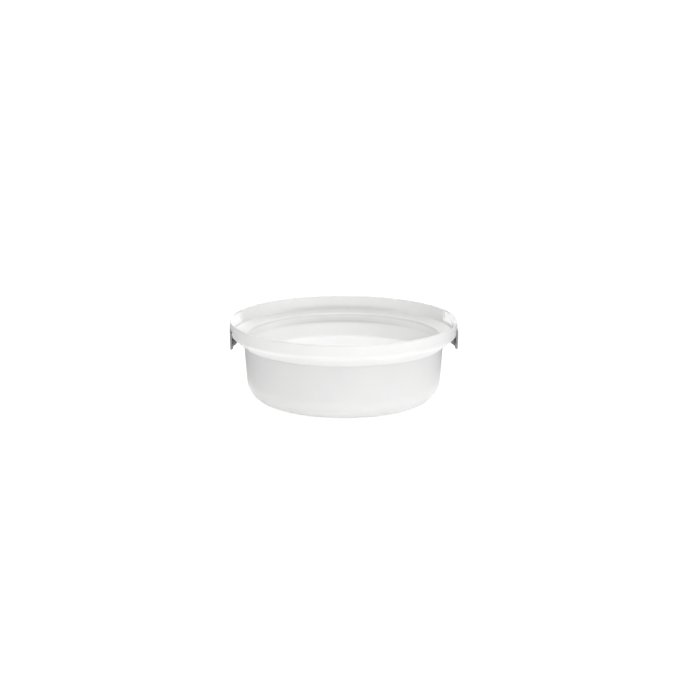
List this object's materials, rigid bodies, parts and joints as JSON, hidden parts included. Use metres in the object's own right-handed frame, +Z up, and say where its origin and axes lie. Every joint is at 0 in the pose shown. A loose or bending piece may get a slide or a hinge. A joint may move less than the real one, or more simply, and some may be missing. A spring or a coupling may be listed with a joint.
{
  "type": "microwave chip container",
  "caption": "Round milky plastic container for making chips in a microwave oven, with a shallow lift-out tray and hinged side clips that hold a lid.",
  "frame": {"origin": "middle of the bowl's underside, at the level of its foot ring", "axes": "+Z up along the bowl's axis, +X and -X through the middles of the clips"},
  "size_m": [0.235, 0.235, 0.085],
  "materials": {
    "milky_polypropylene": "milky, slightly translucent, satin moulded polypropylene",
    "white_polypropylene": "white satin moulded polypropylene",
    "grey_polypropylene": "dark grey satin moulded polypropylene"
  },
  "bodies": {
    "bowl": {"bowl": "milky_polypropylene"},
    "inner_tray": {"inner_tray": "white_polypropylene"},
    "clip_right": {"clip_right": "grey_polypropylene"},
    "clip_left": {"clip_left": "grey_polypropylene"}
  },
  "joints": [
    {"name": "clip_right_hinge", "type": "hinge", "parent": "bowl", "child": "clip_right", "pos_m": [0.11275, 0, 0.06381], "axis": [0, 1, 0], "range_deg": [0, 98]},
    {"name": "clip_left_hinge", "type": "hinge", "parent": "bowl", "child": "clip_left", "pos_m": [-0.11275, 0, 0.06381], "axis": [0, -1, 0], "range_deg": [0, 98]},
    {"name": "tray_lift", "type": "slide", "parent": "bowl", "child": "inner_tray", "axis": [0, 0, 1], "range_m": [0, 0.06]}
  ]
}
